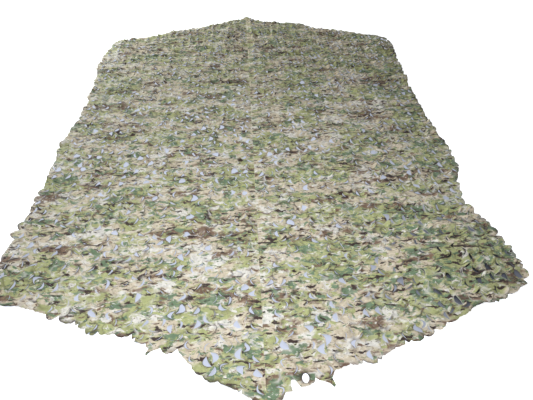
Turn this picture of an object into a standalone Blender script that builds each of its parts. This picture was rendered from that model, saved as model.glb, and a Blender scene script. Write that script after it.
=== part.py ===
"""Camouflage net lying on the ground: two widths of leaf-cut cloth, joined down the middle by a lapped seam.

Metres, +Z up, +Y along the seam towards the far end, +X to the right. The origin is the centre of the
net's box, at its base. Each width of cloth is one sheet with a leafy edge all round, gaps where its
slits have been pulled open, and low folds where it doesn't lie flat.
"""

import math
import random

import bpy
from mathutils import Vector
from mathutils.geometry import delaunay_2d_cdt

# The cloth and its slits.
CLOTH_THICKNESS = 0.002
REPEAT = 0.080  # the slit pattern's repeat, across and along; every second row is set over by half
ROW_STEP = REPEAT / 2
ROW_CLOSING = 0.10  # share by which the rows close up towards the middle at the sides of the net
SLIT_LENGTH = 0.054
SLIT_LENGTH_SPREAD = 0.15
SLIT_RISE = 0.024  # how far a slit's arc stands off its own chord
SLIT_RISE_SPREAD = 0.30
RISE_PER_GAP = 0.35  # a slit that is pulled open arches more
SLIT_TILT = math.radians(30)  # the most that a slit leans
SLIT_SHIFT = 0.005  # how far a slit may lie off its place in the pattern
LIP_KNEE = (0.42, 0.85)  # where a lip bends, as shares of half its length and of its rise
LEAF_SKEW = 0.9  # how lopsided a gap may be
DRIFT = 0.008  # how far the whole pattern is dragged about
DRIFTS = ((7.3, 4.1, 0.6), (-4.6, 8.9, 2.2), (11.0, -6.2, 4.4))  # radians per metre across and along, phase
WIDEST_GAP = 0.034
WIDE_SHARE = 0.13  # share of the slits that stand half as wide as that where the net is pulled most
GAP_FALL = 1.6  # how quickly the others are narrower
GAPS_CUT = 280  # the torn hole and the widest gaps are cut through; the rest are too many and stay closed
EDGE_MARGIN = 0.042  # cloth left between a gap's centre and the edge
SEAM_MARGIN = 0.014  # cloth left between a gap and the seam
GAP_SPACING = 0.006  # cloth left between two gaps

# The seam: the right-hand width lies on the left-hand one.
LAP = 0.016
LAP_CLEARANCE = 0.0003
SEAM_BEND = LAP / 2 + LAP_CLEARANCE  # from the seam's middle to where each width leaves the other
SEAM_FLAT = 0.060  # there are no folds this near the seam

# The leafy edge.
LOBE_DEPTH = 0.036
LEAST_LOBE = 0.15  # share of that depth that every lobe has
CALM_SIDES = 0.35  # how deep the lobes are away from the near end, as a share of those there
CALMING = (-1.20, -0.70)  # from mid-length, where along the net they calm down
LOBE_JITTER = 0.015
LOBE_PROFILE = ((0.0, -0.40), (0.2, 0.35), (0.5, 0.60), (0.8, 0.35))  # along the lobe, share of its depth
EDGE_WAVE = 0.006
EDGE_WAVES = ((9.1, 0.5), (21.7, 2.0))  # radians per metre along the edge, phase
SEAM_STEP = 0.10  # spacing of the points along the seam
HOLE_STEPS = 12  # points round a torn hole
TORN_HOLES = (
    # side, x, y, half its width, half its length
    (1, 0.165, -2.322, 0.015, 0.022),
)

# Relief of the sheet.
WAVE_HEIGHT = 0.009
WAVES = ((5.1, 2.3, 0.4), (-2.7, 5.9, 1.9), (7.7, 8.3, 4.0))  # radians per metre across and along, phase
POINT_SPACING = 0.15
POINT_CLEARANCE = 0.035  # between relief points, and from them to the edge
GAP_CLEARANCE = 0.012  # from a relief point to the nearest gap
FOLD_STATIONS = (-0.48, -0.32, -0.16, 0.0, 0.16, 0.32, 0.48)  # shares of a fold's length that carry points
FOLD_FEET = (-1.5, 0.0, 1.5)  # and shares of its width

HALF_WIDTH = 1.45
REACH_ACROSS = 1.6  # the search for slits and relief points goes this far from the seam
REACH_ALONG = 2.5  # and this far from mid-length
NET_GREEN = (0.36, 0.37, 0.24, 1.0)
CLOTH_ROUGHNESS = 0.75

# Where the mean line of each edge bends: x from the seam, y from mid-length, near end to far end.
LEFT_EDGE = (
    # x, y
    (0.00, -2.435),
    (-0.12, -2.375),
    (-0.30, -2.272),
    (-0.40, -2.175),
    (-0.54, -2.135),
    (-0.64, -2.072),
    (-0.80, -2.040),
    (-1.04, -1.935),
    (-1.41, -1.835),
    (-1.415, -1.430),
    (-1.385, -1.100),
    (-1.425, -0.400),
    (-1.390, 0.240),
    (-1.485, 1.100),
    (-1.475, 1.380),
    (-1.380, 1.690),
    (-1.020, 1.830),
    (-0.880, 1.925),
    (-0.620, 2.025),
    (-0.350, 2.175),
    (-0.060, 2.335),
    (0.00, 2.435),
)
RIGHT_EDGE = (
    # x, y
    (0.00, -2.435),
    (0.09, -2.380),
    (0.23, -2.328),
    (0.50, -2.243),
    (0.66, -2.168),
    (0.80, -2.118),
    (0.93, -2.068),
    (1.05, -1.990),
    (1.175, -1.970),
    (1.24, -1.918),
    (1.37, -1.868),
    (1.400, -1.780),
    (1.355, -1.450),
    (1.290, -1.175),
    (1.405, -0.820),
    (1.423, -0.500),
    (1.410, -0.050),
    (1.462, 0.700),
    (1.545, 1.400),
    (1.525, 1.590),
    (1.430, 1.695),
    (1.050, 1.885),
    (0.790, 1.995),
    (0.650, 2.100),
    (0.520, 2.160),
    (0.370, 2.150),
    (0.090, 2.315),
    (0.00, 2.435),
)

# Where the net has been pulled widest, so that its slits stand open.
PULLED_AREAS = (
    # x, y, radius, strength
    (0.00, -2.25, 0.45, 1.20),
    (-0.50, -1.90, 0.40, 0.60),
    (0.35, -1.95, 0.30, 0.40),
    (-0.80, -1.45, 0.36, 0.38),
    (-0.10, -1.50, 0.35, 0.18),
    (-0.30, -0.60, 0.50, 0.85),
    (0.00, -0.70, 0.30, 0.50),
    (-1.10, -0.50, 0.40, 0.48),
    (-0.60, 0.15, 0.38, 0.48),
    (0.60, -0.75, 0.55, 0.15),
    (1.10, -1.00, 0.40, 0.20),
    (1.05, -1.66, 0.42, 0.50),
    (0.85, -2.00, 0.25, 0.40),
    (1.40, 0.20, 0.35, 0.20),
    (0.25, 0.20, 0.45, 0.28),
)
BASE_OPENING = 0.045

# Folds and ruckles that stand off the ground.
FOLDS = (
    # x, y, turn in degrees, length, width, height
    (1.04, -1.56, 0, 0.66, 0.210, 0.024),
    (1.13, -1.63, 0, 0.52, 0.075, 0.018),
    (1.17, -1.44, -9, 0.38, 0.070, 0.014),
    (1.10, -1.20, 6, 0.40, 0.080, 0.018),
    (-1.17, -1.60, 10, 0.46, 0.080, 0.021),
    (-1.10, -1.18, -5, 0.50, 0.080, 0.016),
    (-0.62, -0.95, 3, 0.75, 0.090, 0.014),
    (0.60, -0.35, -4, 0.85, 0.095, 0.015),
    (-0.80, 0.62, -3, 0.90, 0.100, 0.018),
    (0.75, 0.95, 4, 0.95, 0.100, 0.018),
    (-0.45, 1.45, 2, 0.70, 0.095, 0.016),
    (1.36, 1.40, 68, 0.55, 0.110, 0.028),
    (-1.33, 1.42, -66, 0.50, 0.110, 0.026),
)


def chance(*keys):
    """A number from 0 to 1 that belongs to these whole numbers."""
    seed = 17
    for key in keys:
        seed = (seed * 8191 + key * 131 + 7) % 1000003
    return random.Random(seed).random()


def spread(*keys):
    """A number from -1 to 1 that belongs to these whole numbers."""
    return 2 * chance(*keys) - 1


def edge_walk(corners, distance):
    """The point that far along a line of corners, and the direction to its left there."""
    for (x0, y0), (x1, y1) in zip(corners, corners[1:]):
        length = math.hypot(x1 - x0, y1 - y0)
        if distance <= length:
            break
        distance -= length
    along = min(distance / length, 1.0)
    point = Vector((x0 + along * (x1 - x0), y0 + along * (y1 - y0)))
    return point, Vector((y0 - y1, x1 - x0)) / length


def leafy_edge(corners, side):
    """The net's edge from the near tip to the far tip, as a row of round lobes with notches between them."""
    total = sum(math.dist(a, b) for a, b in zip(corners, corners[1:]))
    lobes = round(total / REPEAT)
    starts = [total * k / lobes for k in range(lobes + 1)]
    for k in range(1, lobes):
        starts[k] += LOBE_JITTER * spread(k, side, 1)
    points = []
    for k in range(lobes):
        at = edge_walk(corners, starts[k])[0]
        calm = max(0.0, min(1.0, (at.y - CALMING[0]) / (CALMING[1] - CALMING[0])))
        depth = LOBE_DEPTH * (LEAST_LOBE + chance(k, side, 2) ** 2) * (1 - (1 - CALM_SIDES) * calm)
        for share, offset in LOBE_PROFILE:
            distance = starts[k] + share * (starts[k + 1] - starts[k])
            at, left = edge_walk(corners, distance)
            out = depth * offset
            out += EDGE_WAVE * sum(math.sin(a * distance + b + side) for a, b in EDGE_WAVES)
            point = at - side * left * out
            point.x = side * max(side * point.x, SEAM_BEND)
            points.append(point)
    return points + [Vector((side * SEAM_BEND, corners[-1][1]))]


def outline(corners, side):
    """One cloth width seen from above. side is -1 for the left-hand one and 1 for the right-hand one."""
    lap_x = -side * LAP / 2
    near, far = corners[0][1], corners[-1][1]
    steps = round((far - near) / SEAM_STEP)
    seam = [Vector((lap_x, far + (near - far) * k / steps)) for k in range(steps + 1)]
    return leafy_edge(corners, side) + seam


def slit_centres(side):
    """(row, column, x, y) of every slit in one cloth width."""
    rows = int(REACH_ALONG / ROW_STEP)
    columns = int(REACH_ACROSS / REPEAT)
    for row in range(-rows, rows + 1):
        for column in range(columns):
            across = (column + (0.5 if row % 2 else 1.0)) * REPEAT
            x, y = side * across, row * ROW_STEP * (1 - ROW_CLOSING * across / HALF_WIDTH)
            x += DRIFT * sum(math.sin(a * x + b * y + c) for a, b, c in DRIFTS)
            y += DRIFT * sum(math.cos(a * x - b * y + c) for a, b, c in DRIFTS)
            x += SLIT_SHIFT * spread(row, column, side, 13)
            yield row, column, x, y + SLIT_SHIFT * spread(row, column, side, 14)


def opening(x, y):
    """How far the net has been pulled open here, from 0 to 1."""
    pulled = BASE_OPENING
    for centre_x, centre_y, radius, strength in PULLED_AREAS:
        pulled += strength * math.exp(-((x - centre_x) ** 2 + (y - centre_y) ** 2) / radius**2)
    return min(pulled, 1.0)


def gap_width(row, column, side, x, y):
    """How wide this slit stands open: a few in each area are wide, and more where it is pulled."""
    rank = chance(row, column, side, 3) / (WIDE_SHARE * opening(x, y))
    return WIDEST_GAP / (1 + rank**GAP_FALL)


def gap_loop(row, column, side, x, y, width):
    """Six points round one gap: its two ends, and the knees of its outer lip and of the leaf's lip."""
    facing = side if row % 2 else -side
    turn = SLIT_TILT * spread(row, column, side, 4)
    half = SLIT_LENGTH / 2 * (1 + SLIT_LENGTH_SPREAD * spread(row, column, side, 5))
    rise = SLIT_RISE * (1 + SLIT_RISE_SPREAD * spread(row, column, side, 8)) + RISE_PER_GAP * width
    along, bulge = LIP_KNEE
    skew = LEAF_SKEW * spread(row, column, side, 6) * along
    knee, outer, end = along * half, rise * (bulge - 0.5), -rise / 2
    upper, lower = outer - bulge * width * (1 + skew), outer - bulge * width * (1 - skew)
    shape = ((end, -half), (outer, -knee), (outer, knee), (end, half), (upper, knee), (lower, -knee))
    cos, sin = math.cos(turn), math.sin(turn)
    return [
        Vector((x + facing * (cos * u - sin * v), y + sin * u + cos * v))
        for u, v in shape
    ]


def anticlockwise(loop):
    """The same closed line, running anticlockwise as the fill needs it."""
    area = sum(a.x * b.y - b.x * a.y for a, b in zip(loop, loop[1:] + loop[:1]))
    return loop if area > 0 else loop[::-1]


def distance_to_loop(point, loop):
    """From a point to the nearest place on a closed line."""
    nearest = math.inf
    for a, b in zip(loop, loop[1:] + loop[:1]):
        step = b - a
        share = max(0.0, min(1.0, (point - a).dot(step) / step.length_squared))
        nearest = min(nearest, (a + share * step - point).length)
    return nearest


def inside(point, loop):
    """True if the point lies inside the closed line."""
    odd = False
    for a, b in zip(loop, loop[1:] + loop[:1]):
        if (a.y > point.y) != (b.y > point.y):
            odd ^= point.x < a.x + (point.y - a.y) / (b.y - a.y) * (b.x - a.x)
    return odd


def crowded(gap, others):
    """Whether a gap comes too near one that is already cut."""
    near = [other for other in others if (gap[0] - other[0]).length < 2 * SLIT_LENGTH]
    return any(
        inside(point, other) or distance_to_loop(point, other) < GAP_SPACING
        for other in near
        for point in gap
    )


def torn_holes(side):
    """The closed lines round one width's torn holes."""
    turns = [2 * math.pi * k / HOLE_STEPS for k in range(HOLE_STEPS)]
    return [
        [Vector((x + half_width * math.cos(t), y + half_length * math.sin(t))) for t in turns]
        for torn, x, y, half_width, half_length in TORN_HOLES
        if torn == side
    ]


def widest_gaps(loops):
    """For each side, the loops of the gaps that are cut through, after those of its torn holes."""
    found = []
    for side, loop in loops.items():
        for row, column, x, y in slit_centres(side):
            centre = Vector((x, y))
            if inside(centre, loop) and distance_to_loop(centre, loop) > EDGE_MARGIN:
                found.append((gap_width(row, column, side, x, y), row, column, side, x, y))
    found.sort(reverse=True)
    gaps = {side: torn_holes(side) for side in loops}
    for width, row, column, side, x, y in found:
        gap = gap_loop(row, column, side, x, y, width)
        off_seam = min(side * point.x for point in gap) > SEAM_MARGIN
        if off_seam and not crowded(gap, gaps[side]):
            gaps[side].append(gap)
        if sum(map(len, gaps.values())) == GAPS_CUT:
            break
    return gaps


def fold_height(x, y):
    """Height of the folds and of the low waves between them."""
    height = WAVE_HEIGHT * sum(math.sin(a * x + b * y + c) for a, b, c in WAVES) / len(WAVES)
    for centre_x, centre_y, turn, length, width, top in FOLDS:
        cos, sin = math.cos(math.radians(turn)), math.sin(math.radians(turn))
        along = (cos * (x - centre_x) + sin * (y - centre_y)) / (length / 2)
        across = (cos * (y - centre_y) - sin * (x - centre_x)) / width
        height += top * math.exp(-(along**4) - across**2)
    away = max(0.0, min(1.0, (abs(x) - SEAM_FLAT) / SEAM_FLAT))
    return max(0.0, height) * away * away * (3 - 2 * away)


def lap_height(x, side):
    """The upper width rises over the lower one along the seam."""
    if side < 0:
        return 0.0
    down = max(0.0, min(1.0, (x - SEAM_BEND) / SEAM_FLAT))
    return (CLOTH_THICKNESS + LAP_CLEARANCE) * (1 - down)


def relief_candidates(side):
    """A staggered grid over the sheet, and the crests and feet of the folds."""
    for row in range(-int(REACH_ALONG / POINT_SPACING), int(REACH_ALONG / POINT_SPACING) + 1):
        for column in range(1, int(REACH_ACROSS / POINT_SPACING) + 1):
            across = (column + 0.5 * (row % 2)) * POINT_SPACING
            yield Vector((side * across, row * POINT_SPACING))
    for x, y, turn, length, width, _ in FOLDS:
        cos, sin = math.cos(math.radians(turn)), math.sin(math.radians(turn))
        for along in FOLD_STATIONS:
            for across in FOLD_FEET:
                u, v = along * length, across * width
                yield Vector((x + cos * u - sin * v, y + sin * u + cos * v))


def relief_points(side, loop, gaps):
    """The points inside the sheet that carry its relief, clear of its edge, its gaps and each other."""
    points = []
    for point in relief_candidates(side):
        if side * point.x < SEAM_FLAT or not inside(point, loop):
            continue
        if distance_to_loop(point, loop) < POINT_CLEARANCE:
            continue
        if any((point - other).length < POINT_CLEARANCE for other in points):
            continue
        near_gaps = [gap for gap in gaps if (point - gap[0]).length < 2 * SLIT_LENGTH]
        if any(inside(point, gap) or distance_to_loop(point, gap) < GAP_CLEARANCE for gap in near_gaps):
            continue
        points.append(point)
    return points


def seam_bend(side, near, far):
    """Points along the line where this width leaves the lap."""
    steps = round((far - near) / SEAM_STEP)
    return [Vector((side * SEAM_BEND, near + (far - near) * k / steps)) for k in range(steps + 1)]


def cloth_sheet(name, side, loop, gaps, shift):
    """One width of cloth: its outline filled around the gaps, raised to its relief and made a thick sheet."""
    verts, faces = [], []
    for ring in [loop] + gaps:
        faces.append(list(range(len(verts), len(verts) + len(ring))))
        verts.extend(anticlockwise(ring))
    bend = seam_bend(side, min(p.y for p in loop), max(p.y for p in loop))
    bend_edges = [(len(verts) + k, len(verts) + k + 1) for k in range(len(bend) - 1)]
    verts.extend(bend + relief_points(side, loop, gaps))
    flat, _, triangles, _, _, sources = delaunay_2d_cdt(verts, bend_edges, faces, 1, 1e-6)
    cloth = [tuple(t) for t, source in zip(triangles, sources) if list(source) == [0]]
    points = [
        (p.x - shift.x, p.y - shift.y, fold_height(p.x, p.y) + lap_height(p.x, side))
        for p in flat
    ]
    mesh = bpy.data.meshes.new(name)
    mesh.from_pydata(points, [], cloth)
    mesh.validate()
    mesh.shade_flat()
    sheet = bpy.data.objects.new(name, mesh)
    thickness = sheet.modifiers.new("cloth thickness", "SOLIDIFY")
    thickness.thickness = CLOTH_THICKNESS
    thickness.offset = 1.0
    return sheet


def cloth_material():
    """Printed polyester, dull green on the whole."""
    material = bpy.data.materials.new("leaf-cut cloth")
    material.use_nodes = True
    shader = material.node_tree.nodes["Principled BSDF"]
    shader.inputs["Base Color"].default_value = NET_GREEN
    shader.inputs["Roughness"].default_value = CLOTH_ROUGHNESS
    shader.inputs["Metallic"].default_value = 0.0
    return material


def main():
    for obj in list(bpy.data.objects):
        bpy.data.objects.remove(obj)
    net = bpy.data.collections.new("camouflage net")
    bpy.context.scene.collection.children.link(net)
    loops = {-1: outline(LEFT_EDGE, -1), 1: outline(RIGHT_EDGE, 1)}
    every_point = loops[-1] + loops[1]
    low = Vector((min(p.x for p in every_point), min(p.y for p in every_point)))
    high = Vector((max(p.x for p in every_point), max(p.y for p in every_point)))
    gaps = widest_gaps(loops)
    material = cloth_material()
    for name, side in (("cloth_width_left", -1), ("cloth_width_right", 1)):
        sheet = cloth_sheet(name, side, loops[side], gaps[side], (low + high) / 2)
        sheet.data.materials.append(material)
        net.objects.link(sheet)


main()
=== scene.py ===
"""The looks of a leaf-cut camouflage net that lies on the ground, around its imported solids.

Every slit of both cloth widths is cut and its leaf lifted: the slit stands open as far as the net is pulled
there, or the leaf laps over it. Slits, edge and folds follow the solids' rules, in more detail.

Metres, +Z up, +Y along the seam towards the far end. Every x and y is measured from the seam's middle.
"""

import math
import random
from collections import namedtuple

import bpy
import numpy as np
from mathutils import Euler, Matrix, Vector, kdtree, noise
from mathutils.geometry import delaunay_2d_cdt


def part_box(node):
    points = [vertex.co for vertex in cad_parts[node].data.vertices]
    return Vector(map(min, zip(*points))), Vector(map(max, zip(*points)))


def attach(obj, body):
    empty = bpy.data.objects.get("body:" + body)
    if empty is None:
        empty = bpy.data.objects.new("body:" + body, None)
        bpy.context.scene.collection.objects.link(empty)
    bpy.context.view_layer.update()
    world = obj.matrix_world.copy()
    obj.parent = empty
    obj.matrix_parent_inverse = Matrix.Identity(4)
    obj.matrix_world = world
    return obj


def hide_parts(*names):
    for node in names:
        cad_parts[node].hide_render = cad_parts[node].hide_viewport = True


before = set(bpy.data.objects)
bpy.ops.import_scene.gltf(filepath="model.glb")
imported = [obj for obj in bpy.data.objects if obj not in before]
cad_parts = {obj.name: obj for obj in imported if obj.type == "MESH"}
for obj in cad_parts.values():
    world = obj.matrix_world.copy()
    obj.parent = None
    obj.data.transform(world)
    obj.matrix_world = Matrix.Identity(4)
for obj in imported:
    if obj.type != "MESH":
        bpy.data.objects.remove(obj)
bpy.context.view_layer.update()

# The camera: lens and sensor in millimetres, and how many degrees it looks down and to the right.
CAMERA_LENS = 30.53
CAMERA_SENSOR = 36.0
CAMERA_ACROSS = -0.056
CAMERA_BACK = 3.317
CAMERA_HEIGHT = 1.83
CAMERA_DOWN = 39.7
CAMERA_RIGHT = 3.0

# The cloth and its slits, as in the solids.
REPEAT = 0.080  # the slit pattern's repeat, across and along; every second row is set over by half
ROW_STEP = REPEAT / 2
ROW_CLOSING = 0.10  # share by which the rows close up towards the middle at the sides of the net
SLIT_LENGTH = 0.054
SLIT_LENGTH_SPREAD = 0.15
SLIT_RISE = 0.024  # how far a slit's arc stands off its own chord
SLIT_RISE_SPREAD = 0.30
RISE_PER_GAP = 0.35  # a slit that is pulled open arches more
SLIT_TILT = math.radians(30)  # the most that a slit leans
SLIT_SHIFT = 0.005  # how far a slit may lie off its place in the pattern
LEAF_SKEW = 0.9  # how lopsided a gap may be
DRIFT = 0.008  # how far the whole pattern is dragged about
DRIFTS = ((7.3, 4.1, 0.6), (-4.6, 8.9, 2.2), (11.0, -6.2, 4.4))  # radians per metre across and along, phase
WIDEST_GAP = 0.034
WIDE_SHARE = 0.13  # share of the slits that stand at least half as wide as that where the net is pulled most
GAP_FALL = 1.6  # how quickly the others are narrower
HALF_WIDTH = 1.45
REACH_ACROSS = 1.6  # the search for slits and other points goes this far from the seam
REACH_ALONG = 2.5  # and this far from mid-length

# The seam, as in the solids: the right-hand width lies on the left-hand one.
LAP = 0.016
LAP_CLEARANCE = 0.0003
SEAM_BEND = LAP / 2 + LAP_CLEARANCE  # from the seam's middle to where each width leaves the other
SEAM_FLAT = 0.060  # there are no folds this near the seam
FAR_TIP = 2.435

# The leafy edge, as in the solids.
LOBE_DEPTH = 0.036
LEAST_LOBE = 0.15  # share of that depth that every lobe has
CALM_SIDES = 0.35  # how deep the lobes are away from the near end, as a share of those there
CALMING = (-1.20, -0.70)  # where along the net they calm down
LOBE_JITTER = 0.015  # how far a lobe's start may be moved along the edge
LOBE_NOTCH = 0.40  # share of a lobe's depth by which the notches cut into the edge's mean line
EDGE_WAVE = 0.006
EDGE_WAVES = ((9.1, 0.5), (21.7, 2.0))  # radians per metre along the edge, phase
HOLE_STEPS = 12  # points round a torn hole
TORN_HOLES = (
    # side, x, y, half its width, half its length
    (1, 0.165, -2.322, 0.015, 0.022),
)

# The relief, as in the solids.
WAVE_HEIGHT = 0.009
WAVES = ((5.1, 2.3, 0.4), (-2.7, 5.9, 1.9), (7.7, 8.3, 4.0))  # radians per metre across and along, phase

# The slits and their leaves, as only the looks have them.
CLOTH_THICKNESS = 0.0005
LEAST_GAP = 0.0006
LIP_STEPS = 6  # straight runs in each lip of a slit
LIP_ROUNDNESS = 0.85  # the power that shapes a lip: 0.5 is half an ellipse, and 1 is more pointed
LIP_LIFT = 0.004
LEAF_DEPTH = 0.022  # from a slit's outer lip to the root of its leaf
LEAF_DEPTH_PER_GAP = 0.7  # and more where the gap is wide
LEAF_LIFT = (0.003, 0.028)  # the least and the most that a leaf's lip is lifted
LEAF_LIFT_PER_GAP = 0.20  # and more where the gap is wide
LEAF_LIFT_FALL = 0.8  # the power by which the lift falls off from a leaf's lip to its root
LEAF_ROLL = 0.018  # how much higher one end of a leaf may stand than the other
LEAF_OVERLAP = 0.007  # how far a leaf laps over its closed slit
CLOSED_GAP = 0.009  # gaps narrower than this begin to be lapped over
LEAF_ROWS = (
    # share of the way from lip to root, places along the leaf as shares of half the slit's length
    (0.35, (-0.6, 0.0, 0.6)),
    (0.7, (-0.65, 0.0, 0.65)),
    (1.05, (-0.35, 0.35)),
)
BEYOND_LIP = 0.009  # from the outer lip to the flat points beyond it
BEYOND_ROW = (-0.45, 0.45)  # places of those points, as shares of half the slit's length
SLIT_RIM_SHADE_BIAS = 0.05  # how much oftener a slit's lips get painted shade than painted highlight
SLIT_CLEARANCE = 0.006  # cloth left between a gap and the edge or the seam
SLIT_MOVES = [(0.0, 0.0)] + [  # where else a slit is tried that would come too near an edge
    (move * math.cos(turn * math.pi / 4), move * math.sin(turn * math.pi / 4))
    for move in (0.017, 0.032)
    for turn in range(8)
]
RING_CLEARANCE = 0.006  # cloth left between two gaps
SPOT_CLEARANCE = 0.003  # from a leaf's inner points to the nearest cut
FILL_SPACING = 0.028
FILL_CLEARANCE = 0.012

# The edge's finer trim.
EDGE_LIFT = 0.008
EDGE_RIM_SHADE_BIAS = 0.1  # how much oftener the edge gets painted shade than painted highlight
LOBE_STEPS = 9
LOBE_ROUNDNESS = 0.6  # the power that shapes a lobe
RAGGEDNESS = 0.002
RAGGED_NEAR = 1.2  # how ragged the near end is, as a share of that; the calm sides are so by 1 less
SNIP_SHARE = 0.22  # share of the lobes with a snip in them
SNIP_DEPTH = 0.018
LEAST_SNIP = 0.5  # share of that depth that every snip has
SNIP_CALMING = 0.8  # how much shallower the snips are on the calm sides
SNIP_STEPS = (3, 4)  # the first step of a lobe where a snip may be, and how many there are
TONGUED_LOBES = ((1, 3), (-1, 7))  # side and number, from the near tip, of those that end in a thin tongue
TONGUE = {3: 0.014, 4: 0.036, 5: 0.032}  # step of the lobe: how far the tongue sticks out there
TONGUE_LEAN = 0.012
BITES = (
    # side, place along the edge from the near tip, half its width, depth
    (1, 0.137, 0.018, 0.045),
)

# The ruckles, and how the cloth lies on the seam.
RUCKLE = 0.013
RUCKLES = (3.1, 13.0)  # ruckles per metre or so, across and along
RUCKLE_SHARE = 0.15  # added to the noise before what lies below 0 is left flat
FINE_RUCKLE = 0.010
FINE_RUCKLES = 29.0  # per metre or so, each way
FINE_RUCKLE_SHARE = 0.1
TOP_HEIGHT = 0.053  # the heights of leaves and ruckles level off towards this
LAP_STEP = 0.0009  # from the lower cloth's underside to the upper one's
SEAM_SMOOTH = 0.030  # how near the seam the ruckles grow low
SEAM_RUCKLE = 0.45  # how high they are on it, as a share of those elsewhere
SEAM_RIDGE = 0.0012
SEAM_WAVE = 0.003
SEAM_WAVES = 4.5  # waves per metre or so, along the seam
SEAM_WAVE_SHARE = 0.2
SEAM_NOISE = (7.0, 3.0)  # where in the noise the seam's waves come from, across and up
SEAM_STEP = 0.012
SEAM_STEPS = round(2 * FAR_TIP / SEAM_STEP)  # straight runs in each of the seam's lines
STITCH_ROWS = (-0.004, 0.004)  # from the seam's middle
STITCH_PITCH = 0.0045
STITCH_LENGTH = 0.0036
STITCHES_SKIPPED = 2  # at each tip
THREAD_WIDTH = 0.0007

# Where the mean line of each edge bends, from the near end to the far end, as in the solids.
LEFT_EDGE = (
    # x, y
    (0.00, -2.435),
    (-0.12, -2.375),
    (-0.30, -2.272),
    (-0.40, -2.175),
    (-0.54, -2.135),
    (-0.64, -2.072),
    (-0.80, -2.040),
    (-1.04, -1.935),
    (-1.41, -1.835),
    (-1.415, -1.430),
    (-1.385, -1.100),
    (-1.425, -0.400),
    (-1.390, 0.240),
    (-1.485, 1.100),
    (-1.475, 1.380),
    (-1.380, 1.690),
    (-1.020, 1.830),
    (-0.880, 1.925),
    (-0.620, 2.025),
    (-0.350, 2.175),
    (-0.060, 2.335),
    (0.00, 2.435),
)
RIGHT_EDGE = (
    # x, y
    (0.00, -2.435),
    (0.09, -2.380),
    (0.23, -2.328),
    (0.50, -2.243),
    (0.66, -2.168),
    (0.80, -2.118),
    (0.93, -2.068),
    (1.05, -1.990),
    (1.175, -1.970),
    (1.24, -1.918),
    (1.37, -1.868),
    (1.400, -1.780),
    (1.355, -1.450),
    (1.290, -1.175),
    (1.405, -0.820),
    (1.423, -0.500),
    (1.410, -0.050),
    (1.462, 0.700),
    (1.545, 1.400),
    (1.525, 1.590),
    (1.430, 1.695),
    (1.050, 1.885),
    (0.790, 1.995),
    (0.650, 2.100),
    (0.520, 2.160),
    (0.370, 2.150),
    (0.090, 2.315),
    (0.00, 2.435),
)

# Where the net is pulled open and where it lies in folds, as in the solids, and where it is bunched up.
PULLED_AREAS = (
    # x, y, radius, strength
    (0.00, -2.25, 0.45, 1.20),
    (-0.50, -1.90, 0.40, 0.60),
    (0.35, -1.95, 0.30, 0.40),
    (-0.80, -1.45, 0.36, 0.38),
    (-0.10, -1.50, 0.35, 0.18),
    (-0.30, -0.60, 0.50, 0.85),
    (0.00, -0.70, 0.30, 0.50),
    (-1.10, -0.50, 0.40, 0.48),
    (-0.60, 0.15, 0.38, 0.48),
    (0.60, -0.75, 0.55, 0.15),
    (1.10, -1.00, 0.40, 0.20),
    (1.05, -1.66, 0.42, 0.50),
    (0.85, -2.00, 0.25, 0.40),
    (1.40, 0.20, 0.35, 0.20),
    (0.25, 0.20, 0.45, 0.28),
)
BASE_OPENING = 0.045  # and where nothing pulls it
BUNCHED_AREAS = (
    # x, y, radius, strength
    (1.10, -1.58, 0.46, 1.2),
    (-1.20, -1.55, 0.35, 0.5),
    (1.20, -0.60, 0.45, 0.5),
    (-1.25, 0.60, 0.40, 0.3),
    (0.10, 1.80, 0.90, 0.4),
    (1.20, 1.00, 0.70, 0.5),
)
FOLDS = (
    # x, y, turn in degrees, length, width, height
    (1.04, -1.56, 0, 0.66, 0.210, 0.024),
    (1.13, -1.63, 0, 0.52, 0.075, 0.018),
    (1.17, -1.44, -9, 0.38, 0.070, 0.014),
    (1.10, -1.20, 6, 0.40, 0.080, 0.018),
    (-1.17, -1.60, 10, 0.46, 0.080, 0.021),
    (-1.10, -1.18, -5, 0.50, 0.080, 0.016),
    (-0.62, -0.95, 3, 0.75, 0.090, 0.014),
    (0.60, -0.35, -4, 0.85, 0.095, 0.015),
    (-0.80, 0.62, -3, 0.90, 0.100, 0.018),
    (0.75, 0.95, 4, 0.95, 0.100, 0.018),
    (-0.45, 1.45, 2, 0.70, 0.095, 0.016),
    (1.36, 1.40, 68, 0.55, 0.110, 0.028),
    (-1.33, 1.42, -66, 0.50, 0.110, 0.026),
)

SIDES = {-1: ("left", LEFT_EDGE), 1: ("right", RIGHT_EDGE)}
PRINT_SHIFT = {-1: (0.0, 0.0), 1: (3.37, 1.91)}  # each width comes from elsewhere on the bolt

# Colours, 0 to 255.
TAN = (203, 189, 164)
OLIVE = (167, 170, 116)
CREAM = (219, 214, 203)
GREEN = (107, 128, 98)
BROWN = (121, 97, 78)
DARK = (60, 45, 40)
THREAD = (104, 106, 78)
FLOOR = (245, 246, 248)
# The shaded floor is painted shade: a darker copy of the floor under the net. The light it gives off is
# painted light.
SHADED_FLOOR = (88, 91, 100)
SHADED_FLOOR_LIGHT = (214, 221, 240)  # what the shaded floor gives off

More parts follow.
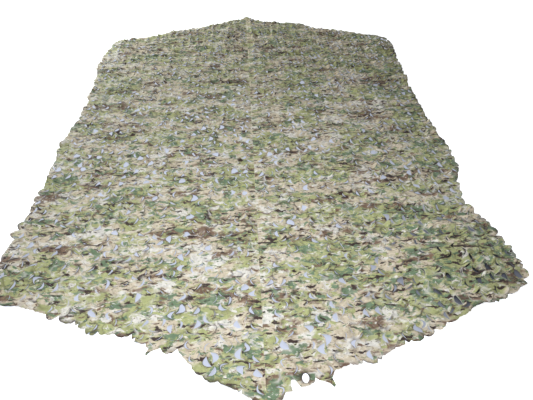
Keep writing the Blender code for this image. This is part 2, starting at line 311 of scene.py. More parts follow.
# The print, from the bottom layer up. Each layer is a noise whose values from low to high come in. More of
# it comes in where the cloth is green, and where it is dark, as its last two columns say.
PRINT_LAYERS = (
    # colour, place in the noise, stretch across, scale, detail, low, high, with green, with dark
    (OLIVE, (0, 0, 0), 1.9, 3.8, 2.0, 0.47, 0.56, 0.35, 0.00),
    (BROWN, (5, 1, 12), 2.2, 5.0, 3.0, 0.555, 0.635, -0.25, 0.40),
    (CREAM, (7, 3, 4), 1.8, 6.5, 5.0, 0.545, 0.625, -0.25, -0.30),
    (GREEN, (2, 9, 8), 1.9, 7.5, 5.0, 0.55, 0.60, 0.25, 0.10),
    (OLIVE, (8, 6, 16), 1.6, 12.0, 3.0, 0.58, 0.63, 0.10, 0.00),
    (BROWN, (4, 2, 31), 2.3, 17.0, 3.0, 0.59, 0.64, 0.00, 0.15),
    (CREAM, (3, 8, 24), 1.7, 18.0, 3.0, 0.59, 0.65, 0.00, -0.15),
    (GREEN, (6, 5, 44), 1.8, 22.0, 3.0, 0.585, 0.635, 0.15, 0.00),
    (OLIVE, (1, 2, 63), 1.5, 42.0, 4.0, 0.59, 0.66, 0.10, 0.00),
    (CREAM, (6, 9, 51), 1.5, 55.0, 4.0, 0.60, 0.68, 0.00, -0.10),
    (BROWN, (2, 7, 71), 1.8, 70.0, 4.0, 0.60, 0.67, 0.00, 0.15),
    (DARK, (1, 4, 20), 3.0, 15.0, 7.0, 0.58, 0.60, 0.00, 0.30),
)
PRINT_ROUGHNESS = 0.58
WANDER = (0.05, 0.03, 0.0)  # how far the print's outlines wander
WANDER_SCALE = 22.0
# Where the cloth is bunched the print's green and dark zones grow, which darkens it there as painted shade.
ZONES = (
    # place in the noise, stretch across, scale, painted shade with bunching
    ((9, 4, 60), 1.9, 2.0, 0.12),
    ((4, 7, 70), 2.2, 3.2, 0.05),
)

# The cloth's surface. Along its cuts it is darkened by painted shade, or paled by painted highlight.
UNDERSIDE_PALING = 0.35
MOTTLE = (60.0, 4.0)  # scale and detail of its noise
MOTTLE_SHARE = 0.30
MOTTLE_RANGE = (0.2, 0.8)
MOTTLE_SHADES = ((0.25, 0.25, 0.22, 1.0), (1.2, 1.2, 1.2, 1.0))
CUT_SHARPNESS = 1.4
# How strong the painted shade and the painted highlight along the cuts are.
RIM_PAINTED_SHADE = 0.85
RIM_PAINTED_HIGHLIGHT = 0.8
CLOTH_ROUGHNESS = 0.62
MOTTLED_ROUGHNESS = 0.2
CLOTH_FINISH = {"Sheen Weight": 0.1, "Sheen Roughness": 0.5, "Specular IOR Level": 0.3}
RIBS = {"Scale": 260.0, "Distortion": 1.5, "Detail": 1.0}
RIB_HEIGHT = 0.12  # as a share of the crumple's
CRUMPLE = (45.0, 3.0)  # scale and detail of its noise
BUMP = {"Strength": 0.8, "Distance": 0.002}
THREAD_SCALE = 900.0
THREAD_ROUGHNESS = 0.6

# The lights round the seam's middle: each lamp is a soft disc.
SKY_STRENGTH = 0.33
LAMPS = (
    # name, watts, colour, place, aim, width
    ("near_light", 63, (0.88, 0.92, 1.0), (-0.25, -2.3, 2.1), (-0.1, -1.3, 0.0), 1.4),
    ("side_light", 212, (0.96, 1.0, 0.95), (-3.7, 3.8, 2.1), (-0.1, 0.6, 0.0), 1.2),
)

# The floor glows a little, so that it stays pale. Under the net lies a darker copy of it, painted shade that
# gives off painted light, turned down most in the areas of painted shade.
FLOOR_GLOW = 0.75
FLOOR_REACH = 60.0
FLOOR_ROUGHNESS = 0.9
FLOOR_DROP = 0.0010  # how far it is below the net's lowest point
SHADED_FLOOR_GLOW = 0.76
SHADED_FLOOR_DROP = 0.0005
# Round areas of painted shade, where the shaded floor's painted light is turned down.
PAINTED_SHADE_AREAS = (
    # x, y, radius, strength
    (1.10, -1.75, 0.50, 1.2),
    (1.15, -0.50, 0.50, 0.4),
    (1.30, 0.60, 0.75, 0.5),
    (0.20, 2.00, 0.95, 0.6),
    (-1.30, -1.60, 0.25, 0.2),
)
UNDER_NET = 0.997  # the shaded floor's outline, as a share of the net's
FLOOR_STEP = 0.12  # between the points of the shaded floor

CHUNK = 500  # about how many points are compared with a closed line at a time
INSIDE_ONLY = 1  # the kind of triangulation that stays inside closed lines
MERGED = 1e-6  # points this near each other count as one

# A point of the cloth: where it lies, where it was on the flat bolt, how far it stands off the sheet, how
# far it is then moved over, and how much painted shade is on its cut, or below 0 how much painted highlight.
Spot = namedtuple("Spot", "plan flat lift over cut", defaults=(0.0, Vector((0.0, 0.0)), 0.0))

left_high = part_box("cloth_width_left")[1]
SEAM = Vector((left_high.x - LAP / 2, left_high.y - FAR_TIP))  # the seam's middle in the frame


# --- The rules that the solids share ---

def chance(*keys):
    """A number from 0 to 1 that belongs to these whole numbers."""
    seed = 17
    for key in keys:
        seed = (seed * 8191 + key * 131 + 7) % 1000003
    return random.Random(seed).random()


def spread(*keys):
    """A number from -1 to 1 that belongs to these whole numbers."""
    return 2 * chance(*keys) - 1


def clamped(value, low):
    """The value, but not below low or above 1."""
    return max(low, min(1.0, value))


def edge_walk(corners, distance):
    """The point that far along a line of corners, and the direction to its left there."""
    for (x0, y0), (x1, y1) in zip(corners, corners[1:]):
        length = math.hypot(x1 - x0, y1 - y0)
        if distance <= length:
            break
        distance -= length
    along = min(distance / length, 1.0)
    point = Vector((x0 + along * (x1 - x0), y0 + along * (y1 - y0)))
    return point, Vector((y0 - y1, x1 - x0)) / length


def slit_centres(side):
    """(row, column, x, y) of every slit in one cloth width."""
    rows = int(REACH_ALONG / ROW_STEP)
    columns = int(REACH_ACROSS / REPEAT)
    for row in range(-rows, rows + 1):
        for column in range(columns):
            across = (column + (0.5 if row % 2 else 1.0)) * REPEAT
            x, y = side * across, row * ROW_STEP * (1 - ROW_CLOSING * across / HALF_WIDTH)
            x += DRIFT * sum(math.sin(a * x + b * y + c) for a, b, c in DRIFTS)
            y += DRIFT * sum(math.cos(a * x - b * y + c) for a, b, c in DRIFTS)
            x += SLIT_SHIFT * spread(row, column, side, 13)
            yield row, column, x, y + SLIT_SHIFT * spread(row, column, side, 14)


def strength_at(areas, x, y):
    """What these round areas, soft at their edges, add up to here."""
    return sum(
        strength * math.exp(-((x - centre_x) ** 2 + (y - centre_y) ** 2) / radius**2)
        for centre_x, centre_y, radius, strength in areas
    )


def opening(x, y):
    """How far the net has been pulled open here, from 0 to 1."""
    return min(BASE_OPENING + strength_at(PULLED_AREAS, x, y), 1.0)


def gap_width(row, column, side, x, y):
    """How wide this slit stands open: a few in each area are wide, and more where it is pulled."""
    rank = chance(row, column, side, 3) / (WIDE_SHARE * opening(x, y))
    return max(LEAST_GAP, WIDEST_GAP / (1 + rank**GAP_FALL))


def torn_holes(side):
    """The closed lines round one width's torn holes."""
    turns = [2 * math.pi * k / HOLE_STEPS for k in range(HOLE_STEPS)]
    return [
        [Vector((x + half_width * math.cos(t), y + half_length * math.sin(t))) for t in turns]
        for torn, x, y, half_width, half_length in TORN_HOLES
        if torn == side
    ]


def fold_height(x, y):
    """Height of the folds and of the low waves between them."""
    height = WAVE_HEIGHT * sum(math.sin(a * x + b * y + c) for a, b, c in WAVES) / len(WAVES)
    for centre_x, centre_y, turn, length, width, top in FOLDS:
        cos, sin = math.cos(math.radians(turn)), math.sin(math.radians(turn))
        along = (cos * (x - centre_x) + sin * (y - centre_y)) / (length / 2)
        across = (cos * (y - centre_y) - sin * (x - centre_x)) / width
        height += top * math.exp(-(along**4) - across**2)
    away = clamped((abs(x) - SEAM_FLAT) / SEAM_FLAT, 0.0)
    return max(0.0, height) * away * away * (3 - 2 * away)


# --- Closed lines ---

def loop_distance(points, loop):
    """From each point to the nearest place on a closed line."""
    a = np.array(loop, float)
    step = np.roll(a, -1, axis=0) - a
    nearest = []
    for part in np.array_split(np.array(points, float), max(1, len(points) // CHUNK)):
        gap = part[:, None] - a
        share = ((gap * step).sum(2) / (step * step).sum(1)).clip(0, 1)
        nearest.append(np.linalg.norm(gap - share[:, :, None] * step, axis=2).min(1))
    return np.concatenate(nearest)


def inside_loop(points, loop):
    """Whether each point lies inside a closed line."""
    a = np.array(loop, float)
    b = np.roll(a, -1, axis=0)
    found = []
    for part in np.array_split(np.array(points, float), max(1, len(points) // CHUNK)):
        x, y = part[:, 0, None], part[:, 1, None]
        crosses = (a[:, 1] > y) != (b[:, 1] > y)
        rise = np.where(b[:, 1] == a[:, 1], 1.0, b[:, 1] - a[:, 1])
        left = x < a[:, 0] + (y - a[:, 1]) / rise * (b[:, 0] - a[:, 0])
        found.append((crosses & left).sum(1) % 2 == 1)
    return np.concatenate(found)


def loop_area(loop):
    """The area inside a closed line, negative if it runs clockwise."""
    return sum(a.x * b.y - b.x * a.y for a, b in zip(loop, loop[1:] + loop[:1])) / 2


def clear_of_edges(points, loop, side):
    """Whether each point lies inside one width's edge, and clear of it and of the seam."""
    clear = inside_loop(points, loop) & (loop_distance(points, loop) > SLIT_CLEARANCE)
    return clear & np.array([side * point.x > SEAM_BEND + SLIT_CLEARANCE for point in points])


def triangulate(rings, others, lines=()):
    """Triangles between the first closed line and those inside it, on their points and on the others.

    lines are pairs of numbers of points that a side of a triangle has to join. The last result says for each
    point which of the given ones it is, if it is one.
    """
    points, loops = [], []
    for ring in rings:
        numbers = list(range(len(points), len(points) + len(ring)))
        loops.append(numbers if loop_area(ring) > 0 else numbers[::-1])
        points.extend(ring)
    made = delaunay_2d_cdt(points + others, lines, loops, INSIDE_ONLY, MERGED)
    points, _, triangles, came_from, _, sources = made
    triangles = [triangle for triangle, source in zip(triangles, sources) if list(source) == [0]]
    return points, triangles, came_from


# --- The cloth ---

def leafy_edge(corners, side):
    """The net's edge from the near tip to the far tip: round lobes, some snipped, tongued or bitten into."""
    total = sum(math.dist(a, b) for a, b in zip(corners, corners[1:]))
    lobes = round(total / REPEAT)
    starts = [total * k / lobes for k in range(lobes + 1)]
    for k in range(1, lobes):
        starts[k] += LOBE_JITTER * spread(k, side, 1)
    edge = []
    for k in range(lobes):
        calm = clamped((edge_walk(corners, starts[k])[0].y - CALMING[0]) / (CALMING[1] - CALMING[0]), 0.0)
        depth = LOBE_DEPTH * (LEAST_LOBE + chance(k, side, 2) ** 2) * (1 - (1 - CALM_SIDES) * calm)
        first, places = SNIP_STEPS
        snipped = first + int(places * chance(k, side, 8)) if chance(k, side, 7) < SNIP_SHARE else None
        tongued = (side, k) in TONGUED_LOBES
        # Painted shade or painted highlight along this lobe's cut edge, none on a tongue.
        painted_rim = 0.0 if tongued else clamped(EDGE_RIM_SHADE_BIAS + spread(k, side, 15), -1.0)
        for step in range(LOBE_STEPS):
            share = step / LOBE_STEPS
            distance = starts[k] + share * (starts[k + 1] - starts[k])
            at, left = edge_walk(corners, distance)
            lobe = math.sin(math.pi * share) ** LOBE_ROUNDNESS
            out = depth * (lobe - LOBE_NOTCH) + RAGGEDNESS * (RAGGED_NEAR - calm) * spread(k, side, step, 9)
            out += EDGE_WAVE * sum(math.sin(a * distance + b + side) for a, b in EDGE_WAVES)
            if tongued and step in TONGUE:
                out += TONGUE[step]
                at = at + TONGUE_LEAN * Vector((left.y, -left.x))
            elif step == snipped:
                deep = LEAST_SNIP + (1 - LEAST_SNIP) * chance(k, side, 10)
                out -= SNIP_DEPTH * (1.0 - SNIP_CALMING * calm) * deep
            for bitten, place, half, most in BITES:
                if bitten == side and abs(distance - place) < half:
                    out -= most * math.sqrt(1 - ((distance - place) / half) ** 2)
            point = at - side * left * out
            point.x = side * max(side * point.x, SEAM_BEND)
            edge.append(Spot(point, point, EDGE_LIFT * lobe * chance(k, side, 11), cut=painted_rim))
    tip = Vector((side * SEAM_BEND, corners[-1][1]))
    return edge + [Spot(tip, tip)]


def seam_y(step):
    """How far along the net the seam's lines have their points, from the far tip to the near one."""
    return FAR_TIP * (1 - 2 * step / SEAM_STEPS)


def seam_line(side, x):
    """Points along the seam at this distance from its middle."""
    line = [Vector((side * x, seam_y(step))) for step in range(SEAM_STEPS + 1)]
    return [Spot(point, point) for point in line]


def slit_and_leaf(row, column, side, x, y):
    """The closed line round one slit's gap, and the points of the leaf inside its curve.

    Along the slit s runs from -1 to 1, and share from 0 at the leaf's lip to 1 at its root.
    """
    width = gap_width(row, column, side, x, y)
    facing = side if row % 2 else -side
    turn = SLIT_TILT * spread(row, column, side, 4)
    half = SLIT_LENGTH / 2 * (1 + SLIT_LENGTH_SPREAD * spread(row, column, side, 5))
    rise = SLIT_RISE * (1 + SLIT_RISE_SPREAD * spread(row, column, side, 8)) + RISE_PER_GAP * width
    skew = LEAF_SKEW * spread(row, column, side, 6)
    low, high = LEAF_LIFT
    lift = low + (high - low) * chance(row, column, side, 7) ** 2 + LEAF_LIFT_PER_GAP * width
    roll = LEAF_ROLL * spread(row, column, side, 9)
    lap = LEAF_OVERLAP * max(0.0, 1 - width / CLOSED_GAP) * chance(row, column, side, 10)
    depth = LEAF_DEPTH + LEAF_DEPTH_PER_GAP * width
    # Painted shade or painted highlight along this slit's lips.
    painted_rim = clamped(SLIT_RIM_SHADE_BIAS + spread(row, column, side, 15), -1.0)
    cos, sin = math.cos(turn), math.sin(turn)

    def turned(u, v):
        return Vector((facing * (cos * u - sin * v), sin * u + cos * v))

    def arc(s):
        return rise * ((1 - s * s) ** LIP_ROUNDNESS - 0.5)

    def gap(s):
        return width * (1 - s * s) ** LIP_ROUNDNESS * (1 + skew * s)

    def outer_spot(s):
        place = Vector((x, y)) + turned(arc(s), half * s)
        return Spot(place, place, LIP_LIFT * (1 - s * s) * chance(row, column, side, 12), cut=painted_rim)

    def leaf_spot(s, share):
        back = gap(s) + share * (depth - gap(s))
        free = (1 - s * s) * max(0.0, 1 - share) ** LEAF_LIFT_FALL
        place = Vector((x, y)) + turned(arc(s) - back, half * s)
        flat = Vector((x, y)) + turned(arc(s) - share * depth, half * s)
        up = free * max(0.0, lift + roll * s)
        return Spot(place, flat, up, turned(lap * free, 0.0), painted_rim * (share == 0))

    stations = [-1 + 2 * k / LIP_STEPS for k in range(LIP_STEPS + 1)]
    ring = [outer_spot(s) for s in stations] + [leaf_spot(s, 0) for s in stations[-2:0:-1]]
    leaf = [leaf_spot(s, share) for share, places in LEAF_ROWS for s in places]
    for s in BEYOND_ROW:
        beyond = Vector((x, y)) + turned(arc(s) + BEYOND_LIP, half * s)
        leaf.append(Spot(beyond, beyond))
    return ring, leaf


def cell(point):
    """The square of a coarse grid that a point is in."""
    return math.floor(point.x / RING_CLEARANCE), math.floor(point.y / RING_CLEARANCE)


def take(ring, taken):
    """Notes the points round a gap, by their squares."""
    for spot in ring:
        taken.setdefault(cell(spot.plan), []).append(spot.plan)


def crowded(ring, taken):
    """Whether a gap comes too near one that is already cut."""
    for spot in ring:
        column, row = cell(spot.plan)
        for place in [(column + a, row + b) for a in (-1, 0, 1) for b in (-1, 0, 1)]:
            if any((spot.plan - other).length < RING_CLEARANCE for other in taken.get(place, ())):
                return True
    return False


def slits_within(side, loop, holes):
    """Every slit of this width whose gap clears the edge and the seam, moved over a little if need be.

    The widest come first, and a slit that would come too near another is left out.
    """
    kept = []
    taken = {}
    for hole in holes:
        take(hole, taken)
    centres = sorted(slit_centres(side), key=lambda at: -gap_width(*at[:2], side, *at[2:]))
    within = inside_loop([at[2:] for at in centres], loop)
    waiting = [at for at, ok in zip(centres, within) if ok]
    for across, along in SLIT_MOVES:
        slits = [slit_and_leaf(row, column, side, x + across, y + along) for row, column, x, y in waiting]
        clear = clear_of_edges([spot.plan for ring, _ in slits for spot in ring], loop, side)
        misses = []
        for at, (ring, leaf), ok in zip(waiting, slits, clear.reshape(len(slits), -1).all(axis=1)):
            if ok and not crowded(ring, taken):
                kept.append((ring, leaf))
                take(ring, taken)
            elif not ok or across or along:
                misses.append(at)
        waiting = misses
    return kept


def blocked(point, ring):
    """Whether a point is in a gap or too near its edge."""
    odd = False
    for a, b in zip(ring, ring[1:] + ring[:1]):
        if (a.y > point.y) != (b.y > point.y):
            odd ^= point.x < a.x + (point.y - a.y) / (b.y - a.y) * (b.x - a.x)
        step = b - a
        share = clamped((point - a).dot(step) / step.length_squared, 0.0)
        if (a + share * step - point).length < SPOT_CLEARANCE:
            return True
    return odd


def leaf_spots(slits, loop, side):
    """The leaf points that clear every gap, the edge and the seam."""
    tree = kdtree.KDTree(len(slits))
    for k, (ring, _) in enumerate(slits):
        tree.insert(ring[0].plan.lerp(ring[LIP_STEPS].plan, 0.5).to_3d(), k)
    tree.balance()
    found = []
    for _, leaf in slits:
        for spot in leaf:
            near = [slits[k][0] for _, k, _ in tree.find_range(spot.plan.to_3d(), SLIT_LENGTH)]
            rings = [[s.plan for s in ring] for ring in near]
            if not any(blocked(spot.plan, ring) for ring in rings):
                found.append(spot)
    clear = clear_of_edges([spot.plan for spot in found], loop, side)
    return [spot for spot, ok in zip(found, clear) if ok]


def fill_spots(side, loop, spots):
    """Plain points where the cloth has few others."""
    tree = kdtree.KDTree(len(spots))
    for k, spot in enumerate(spots):
        tree.insert(spot.plan.to_3d(), k)
    tree.balance()
    rows, columns = int(REACH_ALONG / FILL_SPACING), int(REACH_ACROSS / FILL_SPACING)
    places = [
        Vector((side * (column + 0.5 * (row % 2)) * FILL_SPACING, row * FILL_SPACING))
        for row in range(-rows, rows + 1)
        for column in range(columns + 1)
    ]
    places = [place for place in places if tree.find(place.to_3d())[2] > FILL_CLEARANCE]
    return [Spot(place, place) for place, ok in zip(places, clear_of_edges(places, loop, side)) if ok]


def swell(place, share):
    """Noise that is 0 where it would be low, and only rises from there."""
    return max(0.0, noise.noise(place) + share)


def seam_height(y):
    """How much higher than the sheet near it the lower cloth's underside is on the seam."""
    across, up = SEAM_NOISE
    return SEAM_RIDGE + SEAM_WAVE * swell(Vector((across, SEAM_WAVES * y, up)), SEAM_WAVE_SHARE)


def ruckle_height(x, y):
    """Height of the ruckles that are too small for the solids. They run on over the seam."""
    beside = max(0.0, abs(x) - SEAM_BEND)
    x = math.copysign(beside, x)
    across, along = RUCKLES
    ruckle = RUCKLE * swell(Vector((across * x, along * y, 0.0)), RUCKLE_SHARE)
    ruckle += FINE_RUCKLE * swell(Vector((x, y, 0.0)) * FINE_RUCKLES, FINE_RUCKLE_SHARE)
    return ruckle * (SEAM_RUCKLE + (1 - SEAM_RUCKLE) * min(1.0, beside / SEAM_SMOOTH))


def height(spot, side):
    """Height of the sheet's underside at a spot."""
    x, y = spot.plan
    sheet = fold_height(x, y)
    bunched = 1 + strength_at(BUNCHED_AREAS, x, y)
    near = 1 - clamped((abs(x) - SEAM_BEND) / SEAM_SMOOTH, 0.0)
    seam = near * (seam_height(y) + (LAP_STEP if side > 0 else 0.0))
    room = TOP_HEIGHT - sheet
    return sheet + room * math.tanh(bunched * (ruckle_height(x, y) + spot.lift) / room) + seam


def on_seam(y):
    """Height of the upper cloth's top on the seam's middle, which is straight between the lines' points."""
    place = (FAR_TIP - y) / (2 * FAR_TIP) * SEAM_STEPS
    first = math.floor(place)
    low, high = [height(Spot(Vector((0.0, seam_y(step))), None), 1) for step in (first, first + 1)]
    return low + (place - first) * (high - low) + CLOTH_THICKNESS


def linked_mesh(name, points, faces):
    """A new object in the scene, with these points and faces."""
    mesh = bpy.data.meshes.new(name)
    mesh.from_pydata(points, [], faces)
    piece = bpy.data.objects.new(name, mesh)
    bpy.context.scene.collection.objects.link(piece)
    return piece


def set_values(mesh, name, values):
    """Gives each point of a mesh a number that the materials read by this name."""
    attribute = mesh.attributes.new(name, "FLOAT", "POINT")
    attribute.data.foreach_set("value", values)


def cut_sheet(side, edge):
    """The points and triangles of one width inside its edge, with its slits cut."""
    loop = [spot.plan for spot in edge]
    # The torn holes are ringed with painted shade.
    holes = [[Spot(point, point, cut=1.0) for point in ring] for ring in torn_holes(side)]
    slits = slits_within(side, loop, holes)
    rings = [edge] + holes + [ring for ring, _ in slits]
    spots = [spot for ring in rings for spot in ring]
    leaves = leaf_spots(slits, loop, side)
    fill = fill_spots(side, loop, spots + leaves)
    bend = seam_line(side, SEAM_BEND)
    bend_lines = [(len(spots) + k, len(spots) + k + 1) for k in range(len(bend) - 1)]
    others = bend + leaves + fill
    rings = [[spot.plan for spot in ring] for ring in rings]
    points, triangles, came_from = triangulate(rings, [spot.plan for spot in others], bend_lines)
    spots += others
    return [spots[old[0]] if old else Spot(point, point) for point, old in zip(points, came_from)], triangles


def cloth_width(side):
    """One width of cloth, and the area inside its edge."""
    word, corners = SIDES[side]
    edge = leafy_edge(corners, side) + seam_line(side, -LAP / 2)
    spots, triangles = cut_sheet(side, edge)
    points = [(s.plan + s.over + SEAM).to_3d() + Vector((0, 0, height(s, side))) for s in spots]
    piece = linked_mesh("net_cloth_" + word, points, triangles)
    mesh = piece.data
    mesh.shade_smooth()
    layer = mesh.uv_layers.new(name="bolt")
    shift = Vector(PRINT_SHIFT[side])
    uv = [value for corner in mesh.loops for value in spots[corner.vertex_index].flat + shift]
    layer.data.foreach_set("uv", uv)
    set_values(mesh, "cut", [s.cut for s in spots])
    # The print reads this and darkens the bunched cloth as painted shade.
    set_values(mesh, "bunched", [strength_at(BUNCHED_AREAS, *s.plan) for s in spots])
    solid = piece.modifiers.new("cloth thickness", "SOLIDIFY")
    solid.thickness = CLOTH_THICKNESS
    solid.offset = 1.0
    solid.material_offset = 1
    return piece, abs(loop_area([s.plan for s in edge]))


def seam_stitches():
    """Two rows of lockstitch along the seam: each stitch is a low, pointed ridge of thread."""
    points, faces = [], []
    count = int(2 * FAR_TIP / STITCH_PITCH) - 2 * STITCHES_SKIPPED
    for row_x in STITCH_ROWS:
        for k in range(count):
            y = -FAR_TIP + (k + STITCHES_SKIPPED + 0.5) * STITCH_PITCH
            base = Vector((SEAM.x + row_x, SEAM.y + y, on_seam(y)))
            first = len(points)
            half, wide = STITCH_LENGTH / 2, THREAD_WIDTH / 2
            shape = ((0, -half, 0), (wide, 0, 0), (0, half, 0), (-wide, 0, 0), (0, 0, THREAD_WIDTH))
            points += [base + Vector(corner) for corner in shape]
            faces += [(first + a, first + (a + 1) % 4, first + 4) for a in range(4)]
            faces.append((first + 3, first + 2, first + 1, first))
    piece = linked_mesh("seam_stitches", points, faces)
    piece.data.shade_smooth()
    return piece


# --- Materials ---

def srgb(red, green, blue):
    """A colour given as 0 to 255, as the shader takes it."""
    def linear(value):
        value /= 255
        return value / 12.92 if value <= 0.04045 else ((value + 0.055) / 1.055) ** 2.4
    return (linear(red), linear(green), linear(blue), 1.0)


class Nodes:
    """Adds nodes to a new material, linking each input that is given a socket and setting the others."""

    def __init__(self, name):
        self.material = bpy.data.materials.new(name)
        self.material.use_nodes = True
        self.tree = self.material.node_tree
        self.shader = self.tree.nodes["Principled BSDF"]

    def put(self, node, inputs):
        for key, value in inputs.items():
            if isinstance(value, bpy.types.NodeSocket):
                self.tree.links.new(value, node.inputs[key])
            else:
                node.inputs[key].default_value = value

    def add(self, kind, inputs=None, **settings):
        node = self.tree.nodes.new(kind)
        for key, value in settings.items():
            setattr(node, key, value)
        self.put(node, inputs or {})
        return node

    def math(self, operation, a, b):
        return self.add("ShaderNodeMath", {0: a, 1: b}, operation=operation).outputs[0]

    def vector(self, operation, a, b):
        return self.add("ShaderNodeVectorMath", {0: a, 1: b}, operation=operation).outputs[0]

    def mix(self, share, a, b, blend="MIX"):
        inputs = {"Factor": share, "A": a, "B": b}
        return self.add("ShaderNodeMix", inputs, data_type="RGBA", blend_type=blend).outputs["Result"]

    def noise(self, where, scale, detail=2.0, roughness=0.5):
        inputs = {"Vector": where, "Scale": scale, "Detail": detail, "Roughness": roughness}
        return self.add("ShaderNodeTexNoise", inputs)

    def streaks(self, where, place, stretch):
        """The same coordinates, so that noise is stretched across the cloth and taken from elsewhere."""
        inputs = {"Vector": where, "Location": place, "Scale": (1.0, stretch, 1.0)}
        return self.add("ShaderNodeMapping", inputs).outputs[0]

    def step(self, value, low, high):
        """0 below low, 1 above high, smooth between."""
        inputs = {"Value": value, "From Min": low, "From Max": high}
        return self.add("ShaderNodeMapRange", inputs, interpolation_type="SMOOTHSTEP").outputs[0]

    def value(self, name):
        """The number that each point has by this name."""
        return self.add("ShaderNodeAttribute", attribute_name=name).outputs["Fac"]


def camouflage(nodes, where):
    """A generic print of soft patches with smaller blots and flecks on them, lying across the cloth."""
    wander = nodes.vector("SUBTRACT", nodes.noise(where, WANDER_SCALE).outputs["Color"], (0.5, 0.5, 0.5))
    at = nodes.vector("ADD", where, nodes.vector("MULTIPLY", wander, WANDER))
    # Painted shade: the green and dark zones grow where the cloth is bunched.
    bunched = nodes.value("bunched")
    zones = []
    for place, stretch, scale, painted_shade_with_bunching in ZONES:
        zone = nodes.noise(nodes.streaks(at, place, stretch), scale).outputs[0]
        zone = nodes.math("SUBTRACT", zone, 0.5)
        zones.append(nodes.math("ADD", zone, nodes.math("MULTIPLY", bunched, painted_shade_with_bunching)))
    green, dark = zones
    colour = srgb(*TAN)
    for tint, place, stretch, scale, detail, low, high, with_green, with_dark in PRINT_LAYERS:
        value = nodes.noise(nodes.streaks(at, place, stretch), scale, detail, PRINT_ROUGHNESS).outputs[0]
        value = nodes.math("ADD", value, nodes.math("MULTIPLY", green, with_green))
        value = nodes.math("ADD", value, nodes.math("MULTIPLY", dark, with_dark))
        colour = nodes.mix(nodes.step(value, low, high), colour, srgb(*tint))
    return colour


def weave_bump(nodes, where):
    """The plain weave's ribs, each way, on a slight crumple."""
    inputs = {"Vector": where} | RIBS
    ribs = [
        nodes.add("ShaderNodeTexWave", inputs, wave_type="BANDS", bands_direction=axis).outputs["Fac"]
        for axis in ("X", "Y")
    ]
    crumple = nodes.noise(where, *CRUMPLE).outputs[0]
    relief = nodes.math("ADD", nodes.math("MULTIPLY", nodes.math("ADD", *ribs), RIB_HEIGHT), crumple)
    return nodes.add("ShaderNodeBump", {"Height": relief} | BUMP).outputs[0]


def with_painted_rim(nodes, colour, cut, shade, tint):
    """The same colour, with painted shade or painted highlight in another one along the cuts of one kind."""
    painted_rim = nodes.math("POWER", nodes.math("MAXIMUM", cut, 0.0), CUT_SHARPNESS)
    return nodes.mix(nodes.math("MULTIPLY", painted_rim, shade), colour, srgb(*tint))


def cloth_material(name, paling):
    """Printed polyester: matt, with a slight sheen, a plain weave, and painted shade or painted highlight
    along its cuts.
    """
    nodes = Nodes(name)
    where = nodes.add("ShaderNodeUVMap", uv_map="bolt").outputs[0]
    colour = nodes.mix(paling, camouflage(nodes, where), srgb(*CREAM))
    mottle = nodes.noise(where, *MOTTLE).outputs[0]
    shade = nodes.mix(nodes.step(mottle, *MOTTLE_RANGE), *MOTTLE_SHADES)
    colour = nodes.mix(MOTTLE_SHARE, colour, shade, "MULTIPLY")
    cut = nodes.value("cut")
    # Painted shade along some cuts, painted highlight along others.
    colour = with_painted_rim(nodes, colour, cut, RIM_PAINTED_SHADE, DARK)
    colour = with_painted_rim(nodes, colour, nodes.math("MULTIPLY", cut, -1.0), RIM_PAINTED_HIGHLIGHT, CREAM)
    roughness = nodes.math("ADD", nodes.math("MULTIPLY", mottle, MOTTLED_ROUGHNESS), CLOTH_ROUGHNESS)
    surface = {"Base Color": colour, "Roughness": roughness, "Normal": weave_bump(nodes, where)}
    nodes.put(nodes.shader, surface | CLOTH_FINISH)
    return nodes.material


def thread_material():
    """Twisted polyester thread."""
    nodes = Nodes("seam_thread")
    tone = nodes.noise(nodes.add("ShaderNodeTexCoord").outputs["Object"], THREAD_SCALE).outputs[0]
    colour = nodes.mix(tone, srgb(*DARK), srgb(*THREAD))
    nodes.put(nodes.shader, {"Base Color": colour, "Roughness": THREAD_ROUGHNESS})
    return nodes.material


# --- The stage ---

def stage_plane(name, points, faces, drop, colour, light):
    """A level stage mesh that gives off some light, and its nodes."""
    plane = linked_mesh(name, [(point + SEAM).to_3d() for point in points], faces)
    plane.location.z = -drop
    nodes = Nodes(name)
    surface = {"Base Color": srgb(*colour), "Roughness": FLOOR_ROUGHNESS, "Emission Color": srgb(*light)}
    nodes.put(nodes.shader, surface)
    plane.data.materials.append(nodes.material)
    return plane, nodes


def floor():
    """A plain pale floor just under the net."""
    corners = [FLOOR_REACH * Vector(corner) for corner in ((-1, -1), (1, -1), (1, 1), (-1, 1))]
    _, nodes = stage_plane("stage_floor", corners, [range(4)], FLOOR_DROP, FLOOR, FLOOR)
    nodes.put(nodes.shader, {"Emission Strength": FLOOR_GLOW})


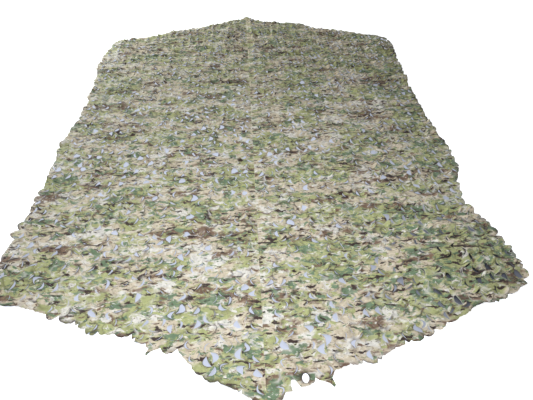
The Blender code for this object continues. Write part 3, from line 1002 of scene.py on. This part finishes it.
def shaded_floor():
    """The same floor in the net's shade, as it shows through the gaps: a darker copy, painted shade, that
    gives off painted light. It leaves out the torn holes.
    """
    left, right = [
        [spot.plan * UNDER_NET for spot in leafy_edge(corners, side)] for side, (_, corners) in SIDES.items()
    ]
    outline = right + left[::-1]
    columns, rows = int(REACH_ACROSS / FLOOR_STEP), int(REACH_ALONG / FLOOR_STEP)
    grid = [
        Vector((FLOOR_STEP * column, FLOOR_STEP * row))
        for row in range(-rows, rows + 1)
        for column in range(-columns, columns + 1)
    ]
    grid = [point for point, ok in zip(grid, inside_loop(grid, outline)) if ok]
    rings = [outline] + [ring for side in SIDES for ring in torn_holes(side)]
    points, faces, _ = triangulate(rings, grid)
    drop, colour, light = SHADED_FLOOR_DROP, SHADED_FLOOR, SHADED_FLOOR_LIGHT
    plane, nodes = stage_plane("stage_shaded_floor", points, faces, drop, colour, light)
    # Painted shade: the shaded floor's painted light is turned down in the areas of painted shade.
    left_by_painted_shade = [max(0.0, 1 - strength_at(PAINTED_SHADE_AREAS, *point)) for point in points]
    set_values(plane.data, "painted_glow", [SHADED_FLOOR_GLOW * share for share in left_by_painted_shade])
    nodes.put(nodes.shader, {"Emission Strength": nodes.value("painted_glow")})


def lights():
    """Soft light all round, a wide lamp above the near end and a low one to the far left."""
    world = bpy.data.worlds.new("studio")
    bpy.context.scene.world = world
    world.use_nodes = True
    sky = world.node_tree.nodes["Background"]
    sky.inputs["Color"].default_value = (1.0, 1.0, 1.0, 1.0)
    sky.inputs["Strength"].default_value = SKY_STRENGTH
    for name, watts, colour, place, aim, width in LAMPS:
        lamp = bpy.data.lights.new(name, "AREA")
        lamp.shape = "DISK"
        lamp.size = width
        lamp.energy = watts
        lamp.color = colour
        holder = bpy.data.objects.new(name, lamp)
        holder.location = SEAM.to_3d() + Vector(place)
        holder.rotation_euler = (Vector(aim) - Vector(place)).to_track_quat("-Z", "Y").to_euler()
        bpy.context.scene.collection.objects.link(holder)


def camera():
    """At eye level beyond the near tip, looking along the seam and down."""
    data = bpy.data.cameras.new("camera")
    data.sensor_width = CAMERA_SENSOR
    data.lens = CAMERA_LENS
    eye = bpy.data.objects.new("camera", data)
    eye.location = (SEAM.x + CAMERA_ACROSS, SEAM.y - CAMERA_BACK, CAMERA_HEIGHT)
    eye.rotation_euler = Euler((math.radians(90 - CAMERA_DOWN), 0, -math.radians(CAMERA_RIGHT)))
    bpy.context.scene.collection.objects.link(eye)
    bpy.context.scene.camera = eye


def main():
    camera()
    face = cloth_material("printed_face", 0.0)
    back = cloth_material("printed_back", UNDERSIDE_PALING)
    stitches = seam_stitches()
    stitches.data.materials.append(thread_material())
    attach(stitches, "root")
    for side, (word, _) in SIDES.items():
        piece, area = cloth_width(side)
        piece.data.materials.append(face)
        piece.data.materials.append(back)
        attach(piece, "root")
        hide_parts("cloth_width_" + word)
    floor()
    shaded_floor()
    lights()
    bpy.context.scene.view_settings.view_transform = "Standard"


main()
